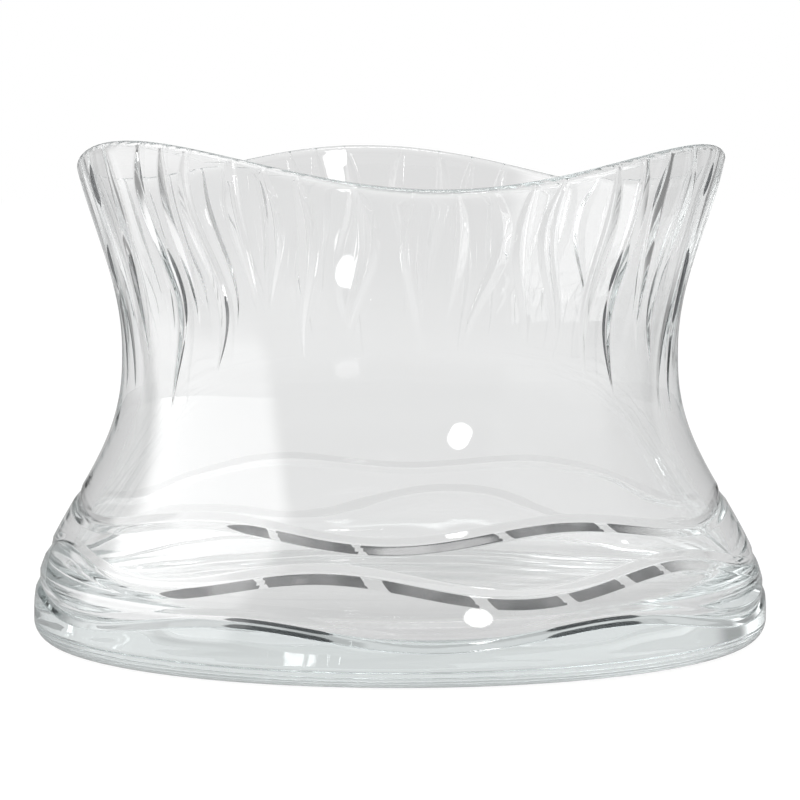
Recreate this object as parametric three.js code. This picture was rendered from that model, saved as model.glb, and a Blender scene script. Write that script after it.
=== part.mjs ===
// Cut crystal bowl: one solid of clear glass with a heavy flared foot, a drawn-in waist
// and a three-lobed rim.
// Millimetres, +Z up. The origin is the middle of the flat underside, and -Y is the side that is seen first.
// Angles run counter-clockwise from +X, seen from above.

import * as THREE from 'three';

// Foot, waist and rim of the outside
const footRadius = 125;
const footEdge = 7;
const footBandHeight = 10;
const waistRadius = 94.6;
const waistHeight = 98;
const rimRadius = 111;
const rimHeight = 160;

// Three lobes of the rim, and the slight lean that the hand-worked rim has
const lobeCount = 3;
const lobeRise = 7.5;
const lobeTurn = 96.4;
const rimLean = 1.7;
const rimLeanTurn = 250;

// Glass left round the cavity: a thin rim, a wall that thickens down to the waves, and the floor
const rimWall = 3.6;
const baseWall = 7.6;
const waveTop = 54;
const floorHeight = 14;
const floorCorner = 10;

// Waves cut round the base: middle height, rise of the crests, turn of a crest, and the cut's own size.
// Drift is how far the hand-guided cut wanders up and down once round the bowl.
const crestCount = 6;
const waves = [
  { height: 16.6, rise: 3.1, crestTurn: 245, width: 6, depth: 0.8, drift: 1.2, driftTurn: 235 },
  { height: 31, rise: 3.85, crestTurn: 258.7, width: 6.2, depth: 0.8, drift: 0.5, driftTurn: 195 },
  { height: 46.6, rise: 2.8, crestTurn: 238, width: 5.2, depth: 0.7, drift: 0.5, driftTurn: 120 },
];

// Drapes hang from the rim: turn from the lobe's peak in degrees, length, and sideways sway in degrees.
// The same sixteen follow each of the three peaks.
const drapes = [
  { turn: 5, length: 88, sway: -2 },
  { turn: 10.5, length: 58, sway: -0.8 },
  { turn: 16, length: 74, sway: -2 },
  { turn: 25, length: 48, sway: -0.8 },
  { turn: 30, length: 46, sway: 1.7 },
  { turn: 36, length: 60, sway: 1.4 },
  { turn: 46, length: 50, sway: 2.5 },
  { turn: 56.5, length: 55, sway: -1.2 },
  { turn: 63, length: 42, sway: 1 },
  { turn: 69, length: 50, sway: 3 },
  { turn: 77, length: 54, sway: -1.6 },
  { turn: 82.5, length: 60, sway: -2.4 },
  { turn: 92.5, length: 68, sway: 1 },
  { turn: 99, length: 78, sway: 1.3 },
  { turn: 106, length: 56, sway: -1.2 },
  { turn: 113, length: 70, sway: 1.5 },
];
const drapeWidth = 6.2;
const drapeDepth = 1.1;
const drapeRimShare = 0.35;

// Where a drape is widest: 0.5 puts it a quarter of the way down, 1 puts it halfway.
const leafBalance = 0.7;

// Height over which a drape sways once to each side.
const swayLength = 68;

// Fineness of the faceted solid
const columnsPerDrape = 3;
const edgeSteps = 3;
const wallSteps = 12;
const roundSteps = 4;
const innerSteps = 12;
const cornerSteps = 5;

const drapeTotal = drapes.length * lobeCount;
const columnCount = drapeTotal * columnsPerDrape;
const innerCount = columnCount / 2;
const lobeAngle = 360 / lobeCount;

function radians(degrees) {
  return THREE.MathUtils.degToRad(degrees);
}

// Outside radius of the uncut bowl: a flare into the foot below the waist, an opening curve above it.
function outerRadius(height) {
  if (height < waistHeight) {
    const below = Math.min((waistHeight - height) / (waistHeight - footBandHeight), 1);
    const flare = Math.pow(Math.sin(0.5 * Math.PI * below), 2.6);
    return waistRadius + (footRadius - waistRadius) * flare;
  }
  const peakHeight = rimHeight + lobeRise;
  const above = (height - waistHeight) / (peakHeight - waistHeight);
  const turnShare = 0.85 * Math.PI;
  const opening = (1 - Math.cos(turnShare * above)) / (1 - Math.cos(turnShare));
  return waistRadius + (rimRadius - waistRadius) * opening;
}

function wallThickness(height) {
  const share = THREE.MathUtils.clamp((height - waveTop) / (rimHeight - waveTop), 0, 1);
  return THREE.MathUtils.lerp(baseWall, rimWall, share);
}

function innerRadius(height) {
  return outerRadius(height) - wallThickness(height);
}

function rimTop(degrees) {
  const lobes = lobeRise * Math.cos(lobeCount * radians(degrees - lobeTurn));
  const lean = rimLean * Math.cos(radians(degrees - rimLeanTurn));
  return rimHeight + lobes + lean;
}

function waveHeight(wave, degrees) {
  const crests = wave.rise * Math.cos(crestCount * radians(degrees - wave.crestTurn));
  const drift = wave.drift * Math.cos(radians(degrees - wave.driftTurn));
  return wave.height + crests + drift;
}

// Drape number k counts round the whole bowl, and its middle sways as it hangs down from the rim.
function drapeAngle(k, below) {
  const lobe = Math.floor(k / drapes.length);
  const drape = drapes[k - lobe * drapes.length];
  const sway = drape.sway * Math.sin(2 * Math.PI * below / swayLength);
  return lobeTurn + lobe * lobeAngle + drape.turn + sway;
}

// How much of a drape's full section is cut at this distance below the rim: a long leaf with a fine tip.
function drapeShare(k, below) {
  const along = below / drapes[k % drapes.length].length;
  if (along >= 1) {
    return 0;
  }
  const leaf = Math.sin(Math.PI * Math.pow(THREE.MathUtils.clamp(along, 0, 1), leafBalance));
  const fromRim = drapeRimShare * (1 - THREE.MathUtils.smoothstep(along, 0, 0.3));
  return Math.max(leaf, fromRim);
}

// Column i of the mesh is the left edge, the middle or the right edge of a drape. Down in the waves
// and the foot the columns spread evenly.
function columnAngle(i, height, below) {
  const k = Math.floor(i / columnsPerDrape);
  const side = i % columnsPerDrape - 1;
  const middle = drapeAngle(k, below);
  const next = drapeAngle(k + side, below);
  const room = Math.abs(next - middle);
  const share = drapeShare(k, below);
  const halfCut = THREE.MathUtils.radToDeg(0.5 * drapeWidth * Math.max(share, 0.3) / outerRadius(height));
  const cutSide = Math.min(halfCut, 0.42 * room);
  const spread = THREE.MathUtils.smoothstep(below - drapes[k % drapes.length].length, 0, 15);
  const hanging = middle + side * THREE.MathUtils.lerp(cutSide, room / columnsPerDrape, spread);
  const even = lobeTurn + i * 360 / columnCount;
  const low = THREE.MathUtils.smoothstep(height, waveTop + 4, waistHeight - 10);
  return THREE.MathUtils.lerp(even, hanging, low);
}

function point(degrees, radius, height) {
  const angle = radians(degrees);
  return new THREE.Vector3(radius * Math.cos(angle), radius * Math.sin(angle), height);
}

// One ring of the mesh: place(i) gives column i's angle, radius and height.
function ring(count, place) {
  const points = [];
  for (let i = 0; i < count; i += 1) {
    points.push(place(i));
  }
  return points;
}

// A ring below the drapes, at a height that may differ from angle to angle, cut in by some depth.
function lowRing(heightAt, depth = 0) {
  return ring(columnCount, (i) => {
    const degrees = columnAngle(i, 0, rimHeight);
    const height = heightAt(degrees);
    return point(degrees, outerRadius(height) - depth, height);
  });
}

function halfway(lower, upper) {
  return (degrees) => 0.5 * (lower(degrees) + upper(degrees));
}

function footRings() {
  const rings = [];
  for (let step = 0; step <= edgeSteps; step += 1) {
    const turn = 0.5 * Math.PI * step / edgeSteps;
    const radius = footRadius - footEdge * (1 - Math.sin(turn));
    const height = footEdge * (1 - Math.cos(turn));
    rings.push(ring(columnCount, (i) => point(columnAngle(i, 0, rimHeight), radius, height)));
  }
  return rings;
}

// Each wave is a V cut: its lower edge, its bottom and its upper edge are rings that rise and fall together.
function waveRings() {
  const rings = [];
  let last = () => footEdge;
  for (const wave of waves) {
    const lower = (degrees) => waveHeight(wave, degrees) - 0.5 * wave.width;
    const upper = (degrees) => waveHeight(wave, degrees) + 0.5 * wave.width;
    const middle = (degrees) => waveHeight(wave, degrees);
    rings.push(lowRing(halfway(last, lower)));
    rings.push(lowRing(lower));
    rings.push(lowRing(middle, wave.depth));
    rings.push(lowRing(upper));
    last = upper;
  }
  return rings;
}

// The wall from the top wave to where the rim starts to round over.
function wallRings() {
  const rings = [];
  const topWave = waves[waves.length - 1];
  for (let step = 1; step <= wallSteps; step += 1) {
    const share = step / wallSteps;
    rings.push(ring(columnCount, (i) => {
      const rough = lobeTurn + i * 360 / columnCount;
      const start = waveHeight(topWave, rough) + 0.5 * topWave.width;
      const height = THREE.MathUtils.lerp(start, rimTop(rough) - 0.5 * rimWall, share);
      const below = rimTop(rough) - height;
      const degrees = columnAngle(i, height, below);
      const isMiddle = i % columnsPerDrape === 1;
      const cut = isMiddle ? drapeDepth * drapeShare(Math.floor(i / columnsPerDrape), below) : 0;
      return point(degrees, outerRadius(height) - cut, height);
    }));
  }
  return rings;
}

// The rim's rounded edge, from the last ring outside to the first one inside.
function rimRings() {
  const rings = [];
  const half = 0.5 * rimWall;
  for (let step = 1; step < roundSteps; step += 1) {
    const turn = Math.PI * step / roundSteps;
    rings.push(ring(columnCount, (i) => {
      const degrees = columnAngle(i, rimHeight, half);
      const centreHeight = rimTop(degrees) - half;
      const centreRadius = outerRadius(centreHeight) - half;
      return point(degrees, centreRadius + half * Math.cos(turn), centreHeight + half * Math.sin(turn));
    }));
  }
  return rings;
}

// Where the inner wall turns into the round corner of the floor: the height, and the wall's lean there.
function cornerStart() {
  let height = floorHeight + floorCorner;
  let lean = 0;
  for (let pass = 0; pass < 30; pass += 1) {
    lean = Math.atan(0.5 * (innerRadius(height - 1) - innerRadius(height + 1)));
    height = floorHeight + floorCorner * (1 + Math.sin(lean));
  }
  return { height, lean };
}

// The inside has half as many columns, evenly spread: down the wall, round the corner and in
// across the floor.
function innerRings() {
  const rings = [];
  const corner = cornerStart();
  const innerTurn = (i) => lobeTurn + i * 360 / innerCount;
  for (let step = 0; step <= innerSteps; step += 1) {
    const share = step / innerSteps;
    rings.push(ring(innerCount, (i) => {
      const degrees = innerTurn(i);
      const height = THREE.MathUtils.lerp(rimTop(degrees) - 0.5 * rimWall, corner.height, share);
      return point(degrees, innerRadius(height), height);
    }));
  }
  const cornerMiddle = innerRadius(corner.height) - floorCorner * Math.cos(corner.lean);
  for (let step = 1; step <= cornerSteps; step += 1) {
    const turn = THREE.MathUtils.lerp(corner.lean, -0.5 * Math.PI, step / cornerSteps);
    const radius = cornerMiddle + floorCorner * Math.cos(turn);
    const height = floorHeight + floorCorner * (1 + Math.sin(turn));
    rings.push(ring(innerCount, (i) => point(innerTurn(i), radius, height)));
  }
  return rings;
}

// Lofts a closed body through the rings. Where a ring has half as many points as the one before,
// two steps of the first meet one step of the second.
function loft(rings, startMiddle, endMiddle) {
  const positions = [];
  const starts = [];
  for (const points of rings) {
    starts.push(positions.length / 3);
    for (const p of points) {
      positions.push(p.x, p.y, p.z);
    }
  }
  const faces = [];
  for (let r = 0; r + 1 < rings.length; r += 1) {
    const here = rings[r].length;
    const there = rings[r + 1].length;
    const a = (i) => starts[r] + i % here;
    const b = (i) => starts[r + 1] + i % there;
    for (let i = 0; i < there; i += 1) {
      if (here === there) {
        faces.push(a(i), a(i + 1), b(i + 1));
        faces.push(a(i), b(i + 1), b(i));
      } else {
        faces.push(a(2 * i), a(2 * i + 1), b(i));
        faces.push(a(2 * i + 1), b(i + 1), b(i));
        faces.push(a(2 * i + 1), a(2 * i + 2), b(i + 1));
      }
    }
  }
  const startIndex = positions.length / 3;
  positions.push(startMiddle.x, startMiddle.y, startMiddle.z);
  const endIndex = positions.length / 3;
  positions.push(endMiddle.x, endMiddle.y, endMiddle.z);
  const first = rings[0].length;
  const last = rings[rings.length - 1].length;
  for (let i = 0; i < first; i += 1) {
    faces.push(startIndex, (i + 1) % first, i);
  }
  for (let i = 0; i < last; i += 1) {
    const from = starts[rings.length - 1];
    faces.push(endIndex, from + i, from + (i + 1) % last);
  }
  const geometry = new THREE.BufferGeometry();
  geometry.setAttribute('position', new THREE.Float32BufferAttribute(positions, 3));
  geometry.setIndex(faces);
  geometry.computeVertexNormals();
  return geometry;
}

function bowlGeometry() {
  const rings = [...footRings(), ...waveRings(), ...wallRings(), ...rimRings(), ...innerRings()];
  return loft(rings, new THREE.Vector3(0, 0, 0), new THREE.Vector3(0, 0, floorHeight));
}

const crystal = new THREE.MeshStandardMaterial({ color: 0xe3e6e6, roughness: 0.04, metalness: 0 });

const bowl = new THREE.Mesh(bowlGeometry(), crystal);
bowl.name = 'bowl';

const crystalBowl = new THREE.Group();
crystalBowl.name = 'crystal_bowl';
crystalBowl.add(bowl);

export default crystalBowl;
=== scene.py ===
import math

import bpy
import numpy as np
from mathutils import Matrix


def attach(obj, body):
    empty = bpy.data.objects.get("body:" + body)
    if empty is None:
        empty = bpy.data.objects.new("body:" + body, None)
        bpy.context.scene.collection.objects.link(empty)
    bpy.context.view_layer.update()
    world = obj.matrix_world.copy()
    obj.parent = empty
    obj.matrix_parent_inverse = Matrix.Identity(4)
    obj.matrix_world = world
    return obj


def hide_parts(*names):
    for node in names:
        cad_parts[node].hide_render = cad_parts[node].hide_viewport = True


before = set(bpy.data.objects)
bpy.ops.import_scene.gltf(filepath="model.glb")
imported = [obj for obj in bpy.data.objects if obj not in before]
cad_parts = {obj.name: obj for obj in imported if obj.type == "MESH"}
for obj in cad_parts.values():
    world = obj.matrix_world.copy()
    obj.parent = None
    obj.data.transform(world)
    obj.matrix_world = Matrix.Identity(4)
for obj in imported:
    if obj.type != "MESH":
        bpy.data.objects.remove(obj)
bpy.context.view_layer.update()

mm = 0.001
clearOfPaintedShade = -1.0       # the depth of a point outside every part of painted shade
cutSoftness = 0.08   # of the bottom and the edges of every cut, in half widths of the cut

# The bowl's own sizes, in millimetres, as they are in the part's source
bowlForm = {
    "footRadius": 125,
    "footEdge": 7,
    "footBandHeight": 10,
    "waistRadius": 94.6,
    "waistHeight": 98,
    "flarePower": 2.6,       # the higher, the more of the flare is near the foot
    "rimRadius": 111,
    "openingTurn": 0.85,     # half turns of the cosine that opens the wall above the waist
    "rimHeight": 160,
    "lobeCount": 3,
    "lobeRise": 7.5,
    "lobeTurn": 96.4,
    "rimLean": 1.7,
    "rimLeanTurn": 250,
    "rimWall": 3.6,
    "baseWall": 7.6,
    "waveTop": 54,           # the wall gets thinner above this
    "floorHeight": 14,
    "floorCorner": 10,
}

# Waves round the base, lowest first. Dark is painted shade in the glass's colour, on a lower side, standing
# in for its look down into the dark, from one turn to another, with a taper at each end. Split is the gap
# that parts the painted shade lengthwise, and 0 is no gap. Sparks are the places that break it, with a turn
# and a width.
waveCuts = {
    "crestCount": 6,
    "darkWidth": 1.2,        # share of the lower side, and over 1 so that the painted shade's ends are blunt
    "splitPlace": 0.45,      # down from the middle of the cut, where 1 is its lower edge
    "sparkSlant": 1.5,       # degrees that a spark leans from edge to edge
    "turnSize": 2,           # millimetres to a degree, near enough
    "waves": [
        {"height": 16.6, "rise": 3.1, "crestTurn": 245, "width": 6, "depth": 0.8,
         "drift": 1.2, "driftTurn": 235, "split": 0.15, "sparks": [],
         "dark": [(241.5, 262.5, 4.5), (289.5, 310, 4.5), (409.5, 430, 4.5), (481.5, 502.5, 4.5)]},
        {"height": 31, "rise": 3.85, "crestTurn": 258.7, "width": 6.2, "depth": 0.8,
         "drift": 0.5, "driftTurn": 195, "split": 0, "dark": [(231, 570, 6)],
         "sparks": [(248.7, 1.2), (266.2, 3), (282.3, 2.2), (295.6, 1.6), (306.6, 2), (315, 1.2)]},
        {"height": 46.6, "rise": 2.8, "crestTurn": 238, "width": 5.2, "depth": 0.7,
         "drift": 0.5, "driftTurn": 120, "split": 0, "dark": [(240, 577, 6)],
         "sparks": [(249.1, 1.5), (263.6, 1.2), (287, 1.5), (306, 2.2)]},
    ],
}

# Drapes that hang from the rim: turn from the lobe's peak, length, sideways sway
drapeCuts = {
    "width": 6.2,
    "depth": 1.1,
    "leafBalance": 0.7,      # where a drape is widest: 0.5 is near the rim, 1 is halfway down
    "rimShare": 0.35,        # of its width and depth, what a drape has at the rim at least
    "rimFade": 0.3,          # share of its length over which that fades out
    "roomShare": 0.42,       # of the room to the next drape, the most that one side takes
    "swayLength": 68,
    "drapes": [
        (5, 88, -2), (10.5, 58, -0.8), (16, 74, -2), (25, 48, -0.8),
        (30, 46, 1.7), (36, 60, 1.4), (46, 50, 2.5), (56.5, 55, -1.2),
        (63, 42, 1), (69, 50, 3), (77, 54, -1.6), (82.5, 60, -2.4),
        (92.5, 68, 1), (99, 78, 1.3), (106, 56, -1.2), (113, 70, 1.5),
    ],
    # Strokes of painted shade on the drapes' sides: drape's number, side, from and to below the rim
    "strokes": [
        (0, 1, 5, 17), (0, 1, 34, 60), (0, 1, 63, 84), (2, 1, 46, 73),
        (13, -1, 30, 44), (13, -1, 46, 77), (14, -1, 5, 20), (15, -1, 36, 66),
    ],
    "strokeWidth": 1.5,      # share of the drape's side, and over 1 for blunt ends
    "strokeTaper": 9,
}

# How finely the glass is meshed
meshSteps = {
    "cutPlaces": (-1, -0.86, -0.45, -0.14, 0, 0.14, 0.45, 0.86, 1),     # across a cut, edge to edge
    "landPlaces": (0.08, 0.5, 0.92),           # on the uncut glass between two drapes
    "bandPlaces": (0.04, 0.35, 0.65, 0.96),    # and on the band below each wave
    "footEdge": 20,
    "wall": 72,
    "wallStart": 0.002,      # share of the wall that keeps its first ring clear of the top wave
    "rimRound": 10,
    "innerWall": 40,
    "innerEven": 0.8,        # share of the inner wall over which its columns become even
    "corner": 12,
    "cornerGuesses": 30,     # tries at the corner's start, which settles long before
    "tipShare": 0.16,        # of a drape's width, what its columns keep between them at its tip
    "spreadLength": 15,      # below the tip, over which they spread out
    "spreadParts": 3,        # until each half of the cut has a third of the room to the next
    "followFrom": 4,         # above the waves, where even columns begin to follow the drapes
    "followBy": 10,          # below the waist, where they follow them all the way
}


def smoothStep(value, low, high):
    share = np.clip((value - low) / (high - low), 0, 1)
    return share * share * (3 - 2 * share)


def outerRadius(height):
    form = bowlForm
    below = (form["waistHeight"] - height) / (form["waistHeight"] - form["footBandHeight"])
    flare = np.sin(0.5 * math.pi * np.clip(below, 0, 1)) ** form["flarePower"]
    low = form["waistRadius"] + (form["footRadius"] - form["waistRadius"]) * flare
    peak = form["rimHeight"] + form["lobeRise"]
    above = (height - form["waistHeight"]) / (peak - form["waistHeight"])
    fullTurn = form["openingTurn"] * math.pi
    opening = (1 - np.cos(fullTurn * above)) / (1 - math.cos(fullTurn))
    high = form["waistRadius"] + (form["rimRadius"] - form["waistRadius"]) * opening
    return np.where(height < form["waistHeight"], low, high)


def innerRadius(height):
    form = bowlForm
    share = np.clip((height - form["waveTop"]) / (form["rimHeight"] - form["waveTop"]), 0, 1)
    return outerRadius(height) - (form["baseWall"] + (form["rimWall"] - form["baseWall"]) * share)


def rimTop(degrees):
    form = bowlForm
    lobes = form["lobeRise"] * np.cos(form["lobeCount"] * np.radians(degrees - form["lobeTurn"]))
    lean = form["rimLean"] * np.cos(np.radians(degrees - form["rimLeanTurn"]))
    return form["rimHeight"] + lobes + lean


def waveHeight(wave, degrees):
    crests = wave["rise"] * np.cos(waveCuts["crestCount"] * np.radians(degrees - wave["crestTurn"]))
    drift = wave["drift"] * np.cos(np.radians(degrees - wave["driftTurn"]))
    return wave["height"] + crests + drift


# Columns of the mesh: each drape has its cut, from edge to edge, and the land after it
drapeList = np.array(drapeCuts["drapes"], float)
perLobe = len(drapeList)
drapeTotal = perLobe * bowlForm["lobeCount"]
cutPlaces = np.array(meshSteps["cutPlaces"])
landPlaces = np.array(meshSteps["landPlaces"])
perDrape = len(cutPlaces) + len(landPlaces)
columnCount = drapeTotal * perDrape
columnDrape = np.repeat(np.arange(drapeTotal), perDrape)
columnPlace = np.tile(np.concatenate([cutPlaces, np.ones(len(landPlaces))]), drapeTotal)
columnLand = np.tile(np.concatenate([np.zeros(len(cutPlaces)), landPlaces]), drapeTotal)
evenTurn = bowlForm["lobeTurn"] + np.arange(columnCount) * 360 / columnCount


def drapeAngle(number, below):
    lobe = np.floor(number / perLobe)
    drape = drapeList[(number - lobe * perLobe).astype(int)]
    sway = drape[..., 2] * np.sin(2 * math.pi * below / drapeCuts["swayLength"])
    return bowlForm["lobeTurn"] + lobe * 360 / bowlForm["lobeCount"] + drape[..., 0] + sway


# Share of its full width and depth that a drape has, so far below the rim
def drapeShare(number, below):
    along = below / drapeList[number % perLobe][..., 1]
    leaf = np.sin(math.pi * np.clip(along, 0, 1) ** drapeCuts["leafBalance"])
    fromRim = drapeCuts["rimShare"] * (1 - smoothStep(along, 0, drapeCuts["rimFade"]))
    return np.where(along >= 1, 0, np.maximum(leaf, fromRim))


# Angle of a drape's middle, and from there to one side of its cut, which spreads out below its tip
def drapeSide(number, side, height, below):
    middle = drapeAngle(number, below)
    room = np.abs(drapeAngle(number + side, below) - middle)
    share = np.maximum(drapeShare(number % drapeTotal, below), meshSteps["tipShare"])
    halfCut = np.degrees(0.5 * drapeCuts["width"] * share / outerRadius(height))
    halfCut = np.minimum(halfCut, drapeCuts["roomShare"] * room)
    spread = smoothStep(below - drapeList[number % perLobe][..., 1], 0, meshSteps["spreadLength"])
    return middle, side * (halfCut * (1 - spread) + room / meshSteps["spreadParts"] * spread)


def columnAngle(height, below):
    middle, left = drapeSide(columnDrape, -1, height, below)
    right = drapeSide(columnDrape, 1, height, below)[1]
    inCut = middle + np.where(columnPlace < 0, -left * columnPlace, right * columnPlace)
    nextMiddle, nextLeft = drapeSide(columnDrape + 1, -1, height, below)
    hanging = inCut + columnLand * (nextMiddle + nextLeft - inCut)
    follow = smoothStep(height, bowlForm["waveTop"] + meshSteps["followFrom"],
                        bowlForm["waistHeight"] - meshSteps["followBy"])
    return evenTurn + (hanging - evenTurn) * follow


def placed(degrees, radius, height):
    turn = np.radians(degrees)
    radius = radius + np.zeros_like(turn)
    height = height + np.zeros_like(turn)
    return np.stack([radius * np.cos(turn), radius * np.sin(turn), height], axis=1) * mm


# A polished V: full depth in the middle, with a slightly soft bottom and soft edges
def cutProfile(place):
    reach = np.sqrt(1 + cutSoftness * cutSoftness)
    return (reach - np.sqrt(place * place + cutSoftness * cutSoftness)) / (reach - cutSoftness)


def footRings():
    form = bowlForm
    rings = []
    for step in range(meshSteps["footEdge"] + 1):
        turn = 0.5 * math.pi * step / meshSteps["footEdge"]
        radius = form["footRadius"] - form["footEdge"] * (1 - math.sin(turn))
        rings.append(placed(evenTurn, radius, form["footEdge"] * (1 - math.cos(turn))))
    return rings


def waveRings():
    rings = []
    last = np.full(columnCount, float(bowlForm["footEdge"]))
    for wave in waveCuts["waves"]:
        middle = waveHeight(wave, evenTurn)
        lower = middle - 0.5 * wave["width"]
        for share in meshSteps["bandPlaces"]:
            height = last + (lower - last) * share
            rings.append(placed(evenTurn, outerRadius(height), height))
        for place in cutPlaces:
            height = middle + 0.5 * wave["width"] * place
            radius = outerRadius(height) - wave["depth"] * cutProfile(place)
            rings.append(placed(evenTurn, radius, height))
        last = middle + 0.5 * wave["width"]
    return rings


# Where each column meets the rim
def rimAngle():
    half = 0.5 * bowlForm["rimWall"]
    return columnAngle(rimTop(evenTurn) - half, np.full(columnCount, half))


# Height of a ring of the wall, and how far it is below the rim
def wallHeight(step):
    top = waveCuts["waves"][-1]
    start = waveHeight(top, evenTurn) + 0.5 * top["width"]
    rim = rimTop(rimAngle())
    end = rim - 0.5 * bowlForm["rimWall"]
    height = start + (end - start) * max(step / meshSteps["wall"], meshSteps["wallStart"])
    return height, rim - height


def wallRings():
    rings = []
    for step in range(meshSteps["wall"] + 1):
        height, below = wallHeight(step)
        degrees = columnAngle(height, below)
        share = drapeShare(columnDrape, below)
        inCut = np.where(columnLand > 0, 0, cutProfile(columnPlace))
        radius = outerRadius(height) - drapeCuts["depth"] * share * inCut
        rings.append(placed(degrees, radius, height))
    return rings


def rimRings():
    half = 0.5 * bowlForm["rimWall"]
    degrees = rimAngle()
    middle = rimTop(degrees) - half
    inCut = np.where(columnLand > 0, 0, cutProfile(columnPlace))
    cut = drapeCuts["depth"] * drapeShare(columnDrape, half) * inCut
    rings = []
    for step in range(1, meshSteps["rimRound"]):
        turn = math.pi * step / meshSteps["rimRound"]
        radius = outerRadius(middle) - half + half * math.cos(turn) - cut * max(math.cos(turn), 0) ** 2
        rings.append(placed(degrees, radius, middle + half * math.sin(turn)))
    return rings


# Where the inner wall leans over into the round corner, and how far it leans there
def cornerStart():
    form = bowlForm
    lean = 0.0
    for guess in range(meshSteps["cornerGuesses"]):
        height = form["floorHeight"] + form["floorCorner"] * (1 + math.sin(lean))
        below, above = innerRadius(np.array([height - 1, height + 1]))     # a millimetre each way
        lean = math.atan(float(below - above) / 2)
    return height, lean


# The inner wall has half the columns, as nothing is cut into it
def innerRings():
    form = bowlForm
    half = 0.5 * form["rimWall"]
    cornerTop, lean = cornerStart()
    rimTurn = rimAngle()[::2]
    rings = []
    for step in range(meshSteps["innerWall"] + 1):
        share = step / meshSteps["innerWall"]
        degrees = rimTurn + (evenTurn[::2] - rimTurn) * smoothStep(share, 0, meshSteps["innerEven"])
        start = rimTop(degrees) - half
        height = start + (cornerTop - start) * step / meshSteps["innerWall"]
        rings.append(placed(degrees, innerRadius(height), height))
    middle = float(innerRadius(np.float64(cornerTop))) - form["floorCorner"] * math.cos(lean)
    for step in range(1, meshSteps["corner"] + 1):
        turn = lean - (lean + 0.5 * math.pi) * step / meshSteps["corner"]
        height = form["floorHeight"] + form["floorCorner"] * (1 + math.sin(turn))
        rings.append(placed(degrees, middle + form["floorCorner"] * math.cos(turn), height))
    return rings


def turnAway(turn, middle):
    return np.abs((turn - middle + 180) % 360 - 180)


# About how many millimetres inside the painted shade of a wave's lower side the points of a ring lie
def waveShadeDepth(wave, place):
    down = -place        # 0 in the middle of the cut, 1 at its lower edge
    wide = np.zeros(columnCount)
    for start, stop, taper in wave["dark"]:
        inside = 0.5 * (stop - start) - turnAway(evenTurn, 0.5 * (start + stop))
        wide = np.maximum(wide, waveCuts["darkWidth"] * np.sqrt(np.clip(inside / taper, 0, 1)))
    depth = 0.5 * wave["width"] * (0.5 * wide - abs(down - 0.5))
    if wave["split"]:
        depth = np.minimum(depth, wave["width"] * abs(down - waveCuts["splitPlace"]) - wave["split"])
    slant = waveCuts["sparkSlant"] * (down - 0.5)
    for middle, width in wave["sparks"]:
        for lobe in range(bowlForm["lobeCount"]):
            away = turnAway(evenTurn, middle + slant + lobe * 360 / bowlForm["lobeCount"])
            depth = np.minimum(depth, waveCuts["turnSize"] * (away - 0.5 * width))
    return depth


# The same for the strokes of painted shade on the drapes' sides
def strokeShadeDepth(below):
    depth = np.full(columnCount, clearOfPaintedShade)
    half = 0.5 * drapeCuts["width"] * drapeShare(columnDrape, below)
    for number, side, start, stop in drapeCuts["strokes"]:
        inside = np.minimum(below - start, stop - below)
        wide = drapeCuts["strokeWidth"] * np.sqrt(np.clip(inside / drapeCuts["strokeTaper"], 0, 1))
        across = half * (0.5 * wide - np.abs(side * columnPlace - 0.5))
        across = np.where(inside > 0, across, clearOfPaintedShade)
        here = (columnDrape % perLobe == number) & (columnLand == 0)
        depth = np.where(here, np.maximum(depth, across), depth)
    return depth


# Adds the rows of faces between rings with these depths, each face with its four corners' depths
def addRows(rows, first, depths):
    for step, (low, high) in enumerate(zip(depths, depths[1:])):
        rows[first + step] = np.stack([low, np.roll(low, -1), np.roll(high, -1), high], axis=1)


def paintedShadeRows():
    rows = {}
    lowerPlaces = [place for place in meshSteps["cutPlaces"] if place <= 0]
    ring = meshSteps["footEdge"] + 1
    for wave in waveCuts["waves"]:
        ring += len(meshSteps["bandPlaces"])
        addRows(rows, ring, [waveShadeDepth(wave, place) for place in lowerPlaces])
        ring += len(cutPlaces)
    addRows(rows, ring, [strokeShadeDepth(wallHeight(step)[1]) for step in range(meshSteps["wall"] + 1)])
    return rows


# Lofts a closed skin through the rings, two columns to one where a ring has half as many points
def loftedMesh(name, rings, startMiddle, endMiddle):
    starts = np.cumsum([0] + [len(ring) for ring in rings]).tolist()
    faces = []
    for low, high, lowStart, highStart in zip(rings, rings[1:], starts, starts[1:]):
        for column in range(len(high)):
            after = (column + 1) % len(high)
            if len(low) == len(high):
                faces.append((lowStart + column, lowStart + after, highStart + after, highStart + column))
            else:
                left = lowStart + 2 * column
                right = lowStart + (2 * column + 2) % len(low)
                faces.append((left, left + 1, highStart + column))
                faces.append((left + 1, highStart + after, highStart + column))
                faces.append((left + 1, right, highStart + after))
    points = np.concatenate(rings + [np.array([startMiddle, endMiddle])])
    first, last = len(rings[0]), len(rings[-1])
    lastStart = starts[-2]
    faces += [(len(points) - 2, (i + 1) % first, i) for i in range(first)]
    faces += [(len(points) - 1, lastStart + i, lastStart + (i + 1) % last) for i in range(last)]
    mesh = bpy.data.meshes.new(name)
    mesh.from_pydata(points.tolist(), [], faces)
    mesh.validate()
    mesh.shade_smooth()
    return mesh


# Gives the mesh the depths of the painted shade, which the glass reads. The marked rows all have four
# corners to a face.
def markPaintedShade(mesh, rows):
    marks = np.full(len(mesh.loops), clearOfPaintedShade, dtype=np.float32)
    for row, depths in rows.items():
        start = 4 * row * columnCount
        marks[start:start + depths.size] = depths.ravel()
    mesh.attributes.new("paintedShadeDepth", "FLOAT", "CORNER").data.foreach_set("value", marks)


# An input takes a plain value or another node's output
def feed(tree, socket, value):
    if isinstance(value, (int, float)):
        socket.default_value = value
    else:
        tree.links.new(value, socket)


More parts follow.
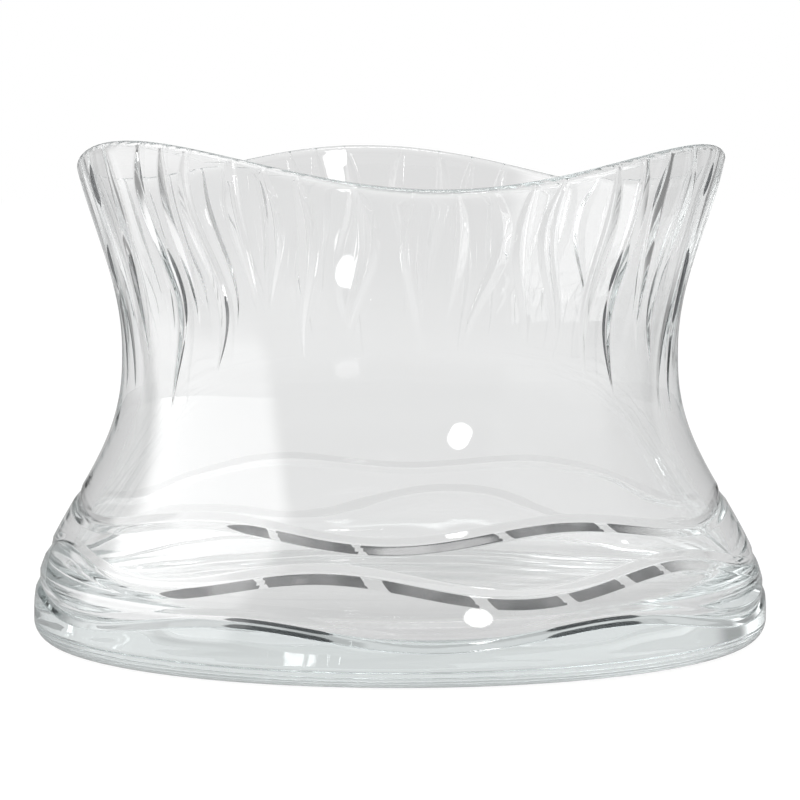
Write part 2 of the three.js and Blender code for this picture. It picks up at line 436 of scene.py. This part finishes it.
def mixedValue(tree, factor, first, second):
    mix = tree.nodes.new("ShaderNodeMix")
    for number, value in ((0, factor), (2, first), (3, second)):     # the inputs of its plain values
        feed(tree, mix.inputs[number], value)
    return mix.outputs[0]


def worked(tree, operation, *values):
    node = tree.nodes.new("ShaderNodeMath")
    node.operation = operation
    for socket, value in zip(node.inputs, values):
        feed(tree, socket, value)
    return node.outputs[0]


# 0 on one value's side and 1 on the other's, which can be the lower of the two
def stepped(tree, value, fromValue, toValue):
    step = tree.nodes.new("ShaderNodeMapRange")
    step.interpolation_type = "SMOOTHSTEP"
    step.inputs["From Min"].default_value = fromValue
    step.inputs["From Max"].default_value = toValue
    tree.links.new(value, step.inputs["Value"])
    return step.outputs["Result"]


def noise(tree, place, scale, detail):
    node = tree.nodes.new("ShaderNodeTexNoise")
    node.inputs["Scale"].default_value = scale
    node.inputs["Detail"].default_value = detail
    tree.links.new(place.outputs["Object"], node.inputs["Vector"])
    return node.outputs["Fac"]


# 0 where the surface faces the ray, 1 where it is edge on
def facingAway(tree):
    node = tree.nodes.new("ShaderNodeLayerWeight")
    node.inputs["Blend"].default_value = 0.5
    return node.outputs["Facing"]


# 1 for a ray that has been reflected by the outside of the glass and hasn't gone into it
def outsideMirror(tree, path):
    neverInside = worked(tree, "LESS_THAN", path.outputs["Transmission Depth"], 0.5)
    return worked(tree, "MULTIPLY", path.outputs["Is Glossy Ray"], neverInside)


# Finish of the glass, with the shade painted into its colour, in metres
crystalFinish = {
    "colour": (0.99, 0.992, 0.992, 1),
    "ior": 1.57,
    "absorbColour": (0.93, 0.955, 0.955, 1),
    "absorbDensity": 8,
    "cutRoughness": 0.06,
    "rippleScale": 45,                 # the hand-polished skin is never quite even
    "rippleHeight": 0.00013,
    "paintedShadeColour": (0.025, 0.027, 0.029, 1),     # painted shade: the near side's wave cuts are coloured dark where they would look down into the dark
    "darkFacing": (0.52, 0.36),        # where they face the viewer
    "darkEdge": 0.2,                   # millimetres over which the painted shade sets in
    "darkPatches": (0.84, 0.96),       # how dark the lightest and the darkest patches of painted shade are
    "patchScale": 60,
    "patchRange": (0.35, 0.6),
    "lowestWaveBelow": (0.0238, 0.0228),        # the lowest wave has the darkest painted shade
    "strokesAbove": (0.055, 0.06),     # the painted shade of the drapes' strokes is as dark
    "strokeFacing": (0.27, 0.39),      # and show where the wall turns away from the viewer
}


# How much painted shade the glass's colour takes for the viewer, from where it is inside a part of painted
# shade
def paintedShadeShare(tree, place, inside):
    look = crystalFinish
    path = tree.nodes.new("ShaderNodeLightPath")
    split = tree.nodes.new("ShaderNodeSeparateXYZ")
    tree.links.new(place.outputs["Object"], split.inputs[0])
    away = facingAway(tree)
    onDrapes = stepped(tree, split.outputs["Z"], *look["strokesAbove"])
    onLowest = stepped(tree, split.outputs["Z"], *look["lowestWaveBelow"])
    turned = mixedValue(tree, onDrapes, stepped(tree, away, *look["darkFacing"]),
                        stepped(tree, away, *look["strokeFacing"]))
    patches = stepped(tree, noise(tree, place, look["patchScale"], 1), *look["patchRange"])
    patches = mixedValue(tree, patches, *look["darkPatches"])
    deepness = mixedValue(tree, worked(tree, "MAXIMUM", onLowest, onDrapes), patches, 1)
    shown = worked(tree, "MULTIPLY", worked(tree, "MULTIPLY", inside, turned), path.outputs["Is Camera Ray"])
    return worked(tree, "MULTIPLY", shown, deepness)


def crystalMaterial():
    look = crystalFinish
    material = bpy.data.materials.new("polishedCrystal")
    material.use_nodes = True
    tree = material.node_tree
    tree.nodes.clear()
    out = tree.nodes.new("ShaderNodeOutputMaterial")
    glass = tree.nodes.new("ShaderNodeBsdfPrincipled")
    place = tree.nodes.new("ShaderNodeTexCoord")
    depth = tree.nodes.new("ShaderNodeAttribute")
    depth.attribute_name = "paintedShadeDepth"
    inside = stepped(tree, depth.outputs["Fac"], 0, look["darkEdge"])
    # Painted shade: the glass's colour is mixed towards the dark colour, for camera rays only
    paintedShadeMix = tree.nodes.new("ShaderNodeMix")
    paintedShadeMix.data_type = "RGBA"
    paintedShadeMix.inputs["A"].default_value = look["colour"]
    paintedShadeMix.inputs["B"].default_value = look["paintedShadeColour"]
    tree.links.new(paintedShadeShare(tree, place, inside), paintedShadeMix.inputs["Factor"])
    tree.links.new(paintedShadeMix.outputs["Result"], glass.inputs["Base Color"])
    rough = mixedValue(tree, inside, 0, look["cutRoughness"])
    tree.links.new(rough, glass.inputs["Roughness"])
    bump = tree.nodes.new("ShaderNodeBump")
    bump.inputs["Distance"].default_value = look["rippleHeight"]
    tree.links.new(noise(tree, place, look["rippleScale"], 0), bump.inputs["Height"])
    tree.links.new(bump.outputs["Normal"], glass.inputs["Normal"])
    glass.inputs["IOR"].default_value = look["ior"]
    glass.inputs["Transmission Weight"].default_value = 1
    absorb = tree.nodes.new("ShaderNodeVolumeAbsorption")
    absorb.inputs["Color"].default_value = look["absorbColour"]
    absorb.inputs["Density"].default_value = look["absorbDensity"]
    tree.links.new(glass.outputs["BSDF"], out.inputs["Surface"])
    tree.links.new(absorb.outputs["Volume"], out.inputs["Volume"])
    return material


rings = footRings() + waveRings() + wallRings() + rimRings() + innerRings()
bowlMesh = loftedMesh("cutCrystalBowl", rings, (0, 0, 0), (0, 0, bowlForm["floorHeight"] * mm))
markPaintedShade(bowlMesh, paintedShadeRows())
bowlMesh.materials.append(crystalMaterial())
bowl = bpy.data.objects.new("cutCrystalBowl", bowlMesh)
bpy.context.scene.collection.objects.link(bowl)
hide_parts("bowl")
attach(bowl, "root")
print("bowl meshed,", len(bowlMesh.polygons), "faces")


# Floor and backdrop, in metres and degrees. A pair is where something sets in and where it is complete.
studio = {
    "floorSize": 12,
    "floorDrop": 0.0002,          # keeps the floor clear of the bowl's underside
    "floorColour": (0.9, 0.9, 0.9, 1),
    "floorGlow": 0.88,            # share of the floor that is plain white, the rest takes the shadow
    "floorToCamera": 1.035,       # how white the camera sees it
    "floorInMirror": 0.25,        # how bright the polished outside reflects it
    "paintedReflectionFrom": (0.3, 0.7),     # further out, under the soft box, a painted reflection of the box
    "floorBehind": 0.78,          # how bright the floor is through the glass
    "paintedShadowBeneath": 0.72,         # and under the bowl, at a steeper angle, a painted shadow of the bowl
    "clearOfBowl": (0.1, 0.125),
    "lowAngle": (15, 11),
    "paintedBoxLight": 0.97,           # a painted pool of the soft box's light, close by on its side
    "boxSide": (-0.02, -0.1),
    "boxReach": (0.4, 0.25),
    "paintedDarkAside": 0.09,           # painted dark to the left and right, further out, for the unlit room past a table's edge
    "paintedDarkFrom": (0.3, 0.45),
    "behindFloor": 0.8,           # how bright the backdrop is through the glass, below the horizon
    "behindLow": 0.78,            # above it
    "horizon": (0, 2),
    "behindHigh": 0.55,           # overhead
    "highFrom": (13, 22),
    "behindAside": 0.4,           # and to the left and right of it
    "asideFrom": (90, 104),       # turn from the camera where that begins
    "asideTo": (126, 134),        # and ends, at the backdrop's edge
    "roomLight": 0.8,
    "roomInMirror": 0.12,         # how bright the polished outside reflects the room
}

# What the glass mirrors and refracts of the lamps. Turn is to the left of the camera, lift is up.
softLights = {
    "sideBox": {"turn": 85, "lift": 32, "halfWidth": 27, "halfHeight": 32,
                "soft": 0.35, "strength": 2.2, "round": False},
    "topLamp": {"turn": -25, "lift": 78, "halfWidth": 40, "halfHeight": 9,
                "soft": 0.4, "strength": 6, "round": True},
    "frontLamp": {"turn": -25, "lift": 23.5, "halfWidth": 4, "halfHeight": 5,
                  "soft": 0.3, "strength": 12, "round": True},
}


# How far an angle is from a lamp's middle, in half widths of the lamp
def lampDistance(tree, angle, middle, half):
    away = worked(tree, "ABSOLUTE", worked(tree, "SUBTRACT", angle, math.radians(middle)))
    return worked(tree, "DIVIDE", away, math.radians(half))


# 1 inside a lamp's outline and 0 outside, with a soft edge
def lampShape(tree, distance, light):
    return stepped(tree, distance, 1 + light["soft"], 1)


# Turn to the left of the camera of a point or direction
def cameraTurn(tree, split):
    return worked(tree, "ARCTAN2", worked(tree, "MULTIPLY", split.outputs["X"], -1),
                  worked(tree, "MULTIPLY", split.outputs["Y"], -1))


# 1 to the left and right of the backdrop, 0 behind the bowl and on the camera's side
def asideShare(tree, turn):
    fromCamera = worked(tree, "ABSOLUTE", turn)
    begun = stepped(tree, fromCamera, *np.radians(studio["asideFrom"]))
    ended = stepped(tree, fromCamera, *np.radians(studio["asideTo"]))
    return worked(tree, "MULTIPLY", begun, worked(tree, "SUBTRACT", 1, ended))


# How bright the floor is through the glass, with a painted shadow under the bowl, painted dark to the sides
# and a painted pool of the soft box's light
def floorThroughGlass(tree, sideways, reach, turn):
    lowAngle = stepped(tree, facingAway(tree), *[1 - math.sin(math.radians(a)) for a in studio["lowAngle"]])
    clear = worked(tree, "MAXIMUM", stepped(tree, reach, *studio["clearOfBowl"]), lowAngle)
    aside = worked(tree, "MULTIPLY", asideShare(tree, turn), stepped(tree, reach, *studio["paintedDarkFrom"]))
    table = mixedValue(tree, aside, studio["floorBehind"], studio["paintedDarkAside"])
    table = mixedValue(tree, clear, studio["paintedShadowBeneath"], table)
    paintedBoxPool = worked(tree, "MULTIPLY", stepped(tree, sideways, *studio["boxSide"]),
                   stepped(tree, reach, *studio["boxReach"]))
    return mixedValue(tree, paintedBoxPool, table, studio["paintedBoxLight"])


# How bright the floor is in the polished outside, where far out it takes a painted reflection of the soft
# box
def floorInMirror(tree, reach, turn):
    box = softLights["sideBox"]
    across = lampDistance(tree, turn, box["turn"], box["halfWidth"])
    paintedBoxReflection = worked(tree, "MULTIPLY", lampShape(tree, across, box),
                      stepped(tree, reach, *studio["paintedReflectionFrom"]))
    return mixedValue(tree, paintedBoxReflection, studio["floorInMirror"], box["strength"])


def floorMaterial():
    material = bpy.data.materials.new("whiteTable")
    material.use_nodes = True
    tree = material.node_tree
    tree.nodes.clear()
    out = tree.nodes.new("ShaderNodeOutputMaterial")
    mix = tree.nodes.new("ShaderNodeMixShader")
    matt = tree.nodes.new("ShaderNodeBsdfDiffuse")
    matt.inputs["Color"].default_value = studio["floorColour"]
    glow = tree.nodes.new("ShaderNodeEmission")
    path = tree.nodes.new("ShaderNodeLightPath")
    place = tree.nodes.new("ShaderNodeTexCoord")
    split = tree.nodes.new("ShaderNodeSeparateXYZ")
    tree.links.new(place.outputs["Object"], split.inputs[0])
    middle = tree.nodes.new("ShaderNodeVectorMath")
    middle.operation = "LENGTH"
    tree.links.new(place.outputs["Object"], middle.inputs[0])
    reach = middle.outputs["Value"]
    turn = cameraTurn(tree, split)
    behind = floorThroughGlass(tree, split.outputs["X"], reach, turn)
    seen = mixedValue(tree, path.outputs["Is Camera Ray"], behind, studio["floorToCamera"])
    strength = mixedValue(tree, outsideMirror(tree, path), seen, floorInMirror(tree, reach, turn))
    tree.links.new(strength, glow.inputs["Strength"])
    share = mixedValue(tree, path.outputs["Is Diffuse Ray"], studio["floorGlow"], 0)
    tree.links.new(share, mix.inputs[0])
    tree.links.new(matt.outputs[0], mix.inputs[1])
    tree.links.new(glow.outputs[0], mix.inputs[2])
    tree.links.new(mix.outputs[0], out.inputs["Surface"])
    return material


half = 0.5 * studio["floorSize"]
corners = [(-half, -half, 0), (half, -half, 0), (half, half, 0), (-half, half, 0)]
floorMesh = bpy.data.meshes.new("floor")
floorMesh.from_pydata(corners, [], [(0, 1, 2, 3)])
floor = bpy.data.objects.new("floor", floorMesh)
bpy.context.scene.collection.objects.link(floor)
floor.location.z = -studio["floorDrop"]
floorMesh.materials.append(floorMaterial())
print("floor laid")


# How bright the backdrop is through the glass
def backdropBehind(tree, lift, turn):
    risen = stepped(tree, lift, *np.radians(studio["horizon"]))
    low = mixedValue(tree, risen, studio["behindFloor"], studio["behindLow"])
    backdrop = mixedValue(tree, asideShare(tree, turn), low, studio["behindAside"])
    high = stepped(tree, lift, *np.radians(studio["highFrom"]))
    return mixedValue(tree, high, backdrop, studio["behindHigh"])


# 1 where a soft light shows, round or square
def lightShows(tree, light, lift, turn):
    across = lampDistance(tree, turn, light["turn"], light["halfWidth"])
    upward = lampDistance(tree, lift, light["lift"], light["halfHeight"])
    if not light["round"]:
        return worked(tree, "MULTIPLY", lampShape(tree, across, light), lampShape(tree, upward, light))
    away = worked(tree, "SQRT", worked(tree, "ADD", worked(tree, "MULTIPLY", across, across),
                                       worked(tree, "MULTIPLY", upward, upward)))
    return lampShape(tree, away, light)


def worldLight():
    world = bpy.data.worlds.new("studio")
    world.use_nodes = True
    tree = world.node_tree
    tree.nodes.clear()
    out = tree.nodes.new("ShaderNodeOutputWorld")
    path = tree.nodes.new("ShaderNodeLightPath")
    place = tree.nodes.new("ShaderNodeTexCoord")
    split = tree.nodes.new("ShaderNodeSeparateXYZ")
    tree.links.new(place.outputs["Generated"], split.inputs[0])
    lift = worked(tree, "ARCSINE", split.outputs["Z"])
    turn = cameraTurn(tree, split)
    behind = backdropBehind(tree, lift, turn)
    glass = mixedValue(tree, outsideMirror(tree, path), behind, studio["roomInMirror"])
    for light in softLights.values():
        glass = mixedValue(tree, lightShows(tree, light, lift, turn), glass, light["strength"])
    lit = mixedValue(tree, path.outputs["Is Diffuse Ray"], glass, studio["roomLight"])
    final = mixedValue(tree, path.outputs["Is Camera Ray"], lit, 1)
    shine = tree.nodes.new("ShaderNodeBackground")
    shine.inputs["Color"].default_value = (1, 1, 1, 1)
    tree.links.new(final, shine.inputs["Strength"])
    tree.links.new(shine.outputs[0], out.inputs["Surface"])
    bpy.context.scene.world = world


worldLight()

# Lamps, with the same turns and lifts: both look at the middle of the bowl
lamps = {
    "sideBox": {"turn": 85, "lift": 32, "distance": 1.3, "width": 1.3, "height": 1.5,
                "watts": 30, "round": False},
    "frontLamp": {"turn": -25, "lift": 28, "distance": 1.6, "width": 0.5, "height": 0.5,
                  "watts": 14, "round": True},
}
lampAim = 0.09       # height of the middle of the bowl


def addLamp(name, lamp):
    data = bpy.data.lights.new(name, "AREA")
    data.shape = "ELLIPSE" if lamp["round"] else "RECTANGLE"
    data.size = lamp["width"]
    data.size_y = lamp["height"]
    data.energy = lamp["watts"]
    light = bpy.data.objects.new(name, data)
    turn = math.radians(lamp["turn"])
    lift = math.radians(lamp["lift"])
    flat = lamp["distance"] * math.cos(lift)
    up = lampAim + lamp["distance"] * math.sin(lift)
    light.location = (-flat * math.sin(turn), -flat * math.cos(turn), up)
    light.rotation_euler = (math.pi / 2 - lift, 0, -turn)
    bpy.context.scene.collection.objects.link(light)
    light.visible_glossy = False           # the glass shows the soft lights of the world instead
    light.visible_transmission = False


for lampName, lamp in lamps.items():
    addLamp(lampName, lamp)

# Camera, fitted to the photograph's outline
view = {"distance": 1.2, "height": 0.177, "pitch": 4.62, "lens": 158.5, "sensor": 36}
cameraData = bpy.data.cameras.new("camera")
cameraData.lens = view["lens"]
cameraData.sensor_width = view["sensor"]
camera = bpy.data.objects.new("camera", cameraData)
camera.location = (0, -view["distance"], view["height"])
camera.rotation_euler = (math.radians(90 - view["pitch"]), 0, 0)
bpy.context.scene.collection.objects.link(camera)
bpy.context.scene.camera = camera

bounces = 32         # light crosses many skins of glass
scene = bpy.context.scene
scene.view_settings.view_transform = "Standard"
scene.cycles.max_bounces = bounces
scene.cycles.transmission_bounces = bounces
scene.cycles.glossy_bounces = bounces
print("studio set")
